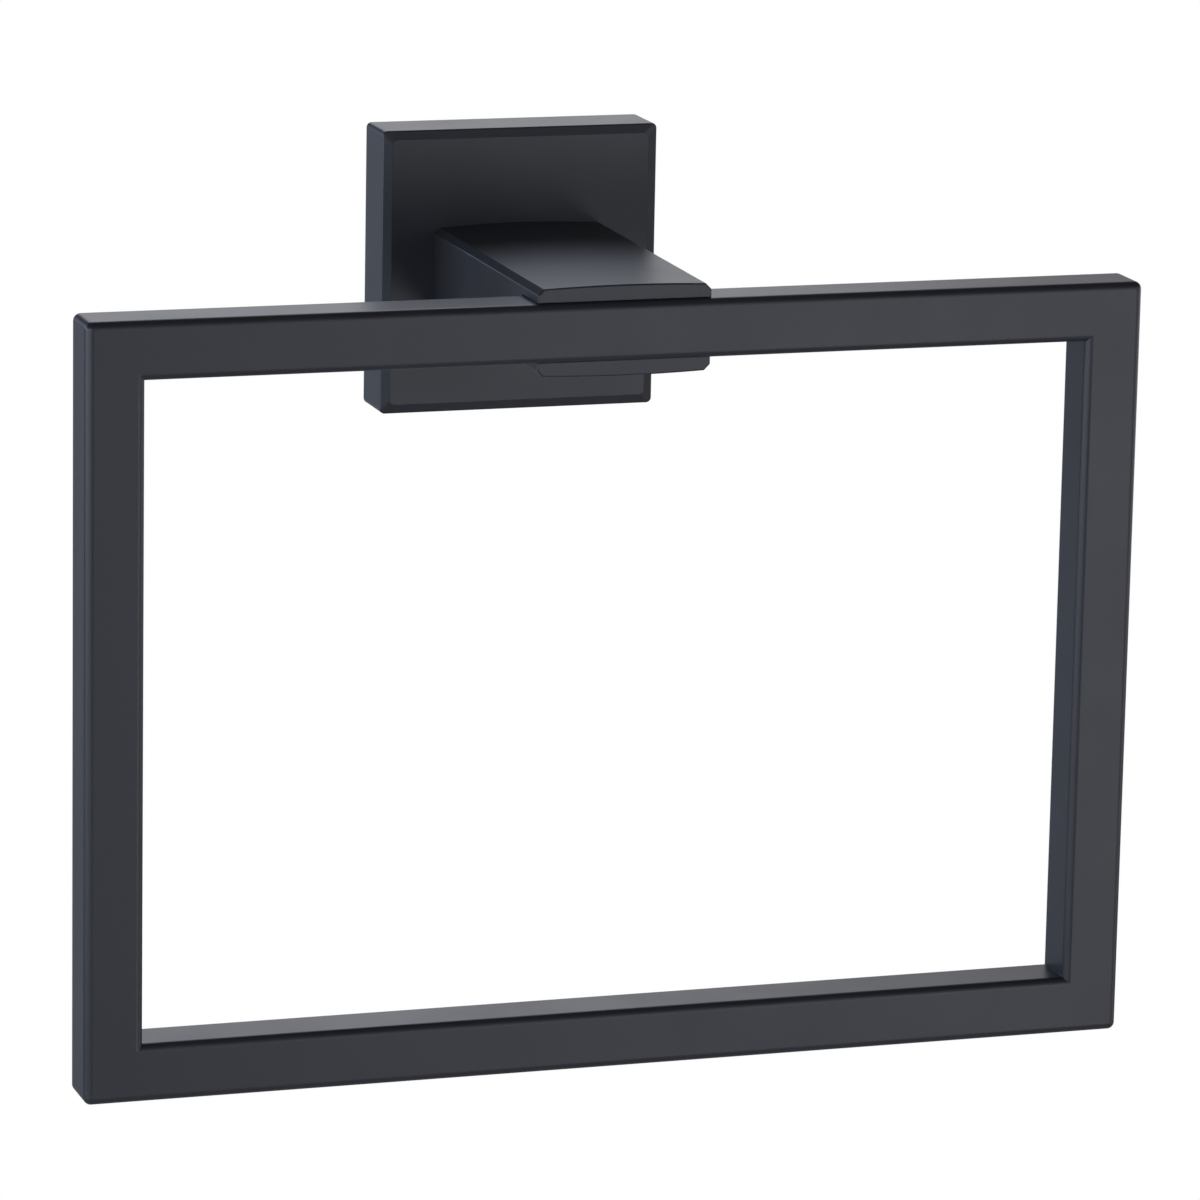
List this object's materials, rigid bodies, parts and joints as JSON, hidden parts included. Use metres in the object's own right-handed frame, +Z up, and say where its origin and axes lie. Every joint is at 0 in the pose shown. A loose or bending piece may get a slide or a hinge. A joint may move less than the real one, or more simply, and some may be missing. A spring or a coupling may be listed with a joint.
{
  "type": "towel ring",
  "caption": "Square wall-mounted towel ring: a flat-bar frame held in the forked end of a post on a square rose, with a hidden wall bracket.",
  "frame": {"origin": "on the wall behind the centre of the rose, level with the middle of the ring's top bar", "axes": "+Y into the wall, +Z up, +X to the right seen from the front; the ring hangs below on the -Y side"},
  "size_m": [0.203, 0.0793, 0.1676],
  "materials": {
    "black_coat": "satin black powder coat",
    "plated_sheet": "zinc plated sheet",
    "screw_steel": "stainless"
  },
  "bodies": {
    "root": {"towel_ring": "black_coat", "support_post": "black_coat", "rose_cover": "black_coat", "wall_bracket": "plated_sheet", "post_screws": "screw_steel", "lock_washers": "screw_steel", "rose_set_screw": "screw_steel"}
  },
  "joints": []
}
